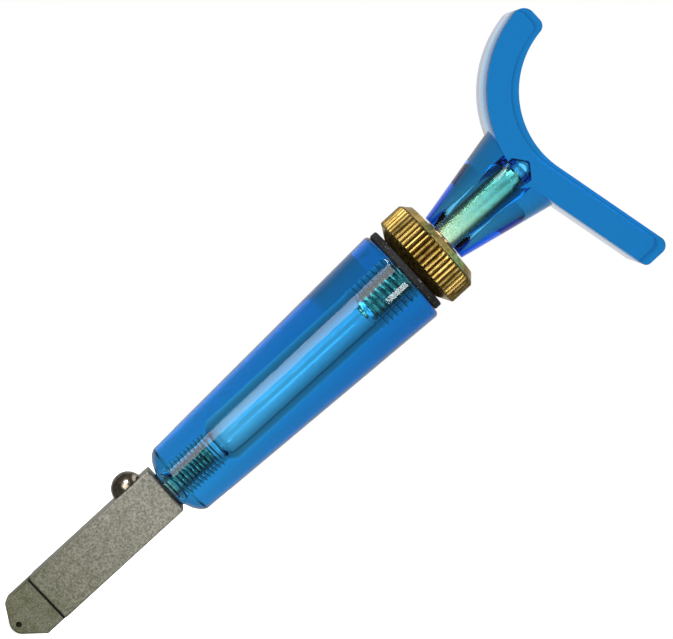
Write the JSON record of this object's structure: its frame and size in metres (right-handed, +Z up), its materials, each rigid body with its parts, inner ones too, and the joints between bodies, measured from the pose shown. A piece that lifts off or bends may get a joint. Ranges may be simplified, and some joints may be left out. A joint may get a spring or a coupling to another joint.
{
  "type": "glass cutter",
  "caption": "Oil-fed hand glass cutter: steel wheel in a narrow head, tapered clear blue reservoir barrel, knurled brass filler cap and a swivelling finger saddle.",
  "frame": {"origin": "the cutting wheel's contact point; the barrel's axis stands 0.5 mm off it towards +X, so that the wheel trails", "axes": "+Z up the tool's axis to the saddle; +X across the head and along the saddle's long arm; the head's broad faces look along -Y and +Y, and the wheel turns about Y"},
  "size_m": [0.0474, 0.0184, 0.1376],
  "materials": {
    "carbide": "ground carbide, fine satin",
    "steel": "bright turned steel",
    "cast_head": "fine-grained sintered metal, dull grey with worn edges",
    "screw_brass": "polished domed brass, darkened to bronze",
    "rubber": "matte black",
    "stem_steel": "dark oiled steel thread",
    "wick": "felted cotton",
    "blue_acrylic": "clear polished blue acrylic",
    "brass": "straight-knurled brass, slightly tarnished",
    "bronze": "plain bearing bronze",
    "zinc_rod": "yellow zinc plated, turned"
  },
  "bodies": {
    "barrel": {"barrel": "blue_acrylic", "threaded_stem": "stem_steel", "oil_wick": "wick", "head_gasket": "rubber"},
    "head": {"cutter_head": "cast_head", "head_screw": "screw_brass", "wheel_axle": "steel"},
    "wheel": {"cutting_wheel": "carbide"},
    "cap_seals": {"cap_washer": "rubber", "cap_o_ring": "rubber"},
    "cap": {"knurled_ring": "brass", "cap_plug": "zinc_rod", "swivel_bush": "bronze", "rod_o_ring": "rubber"},
    "saddle": {"finger_saddle": "blue_acrylic", "swivel_rod": "zinc_rod", "rod_washer": "steel", "rod_clip": "steel"}
  },
  "joints": [
    {"name": "head_swivel", "type": "hinge", "parent": "barrel", "child": "head", "pos_m": [0.0005, 0, 0.03135], "axis": [0, 0, 1], "range_deg": [-4, 4]},
    {"name": "wheel_spin", "type": "hinge", "parent": "head", "child": "wheel", "pos_m": [0, 0, 0.00165], "axis": [0, 1, 0], "continuous": true},
    {"name": "cap_lift", "type": "slide", "parent": "barrel", "child": "cap_seals", "axis": [0, 0, 1], "range_m": [0, 0.00825]},
    {"name": "cap_turn", "type": "hinge", "parent": "cap_seals", "child": "cap", "pos_m": [0.0005, 0, 0.097], "axis": [0, 0, 1], "range_deg": [0, 2701]},
    {"name": "saddle_swivel", "type": "hinge", "parent": "cap", "child": "saddle", "pos_m": [0.0005, 0, 0.1011], "axis": [0, 0, 1], "continuous": true}
  ],
  "couplings": [
    {"joint": "cap_turn", "follows": "cap_lift", "rad_per_m": 5712}
  ]
}
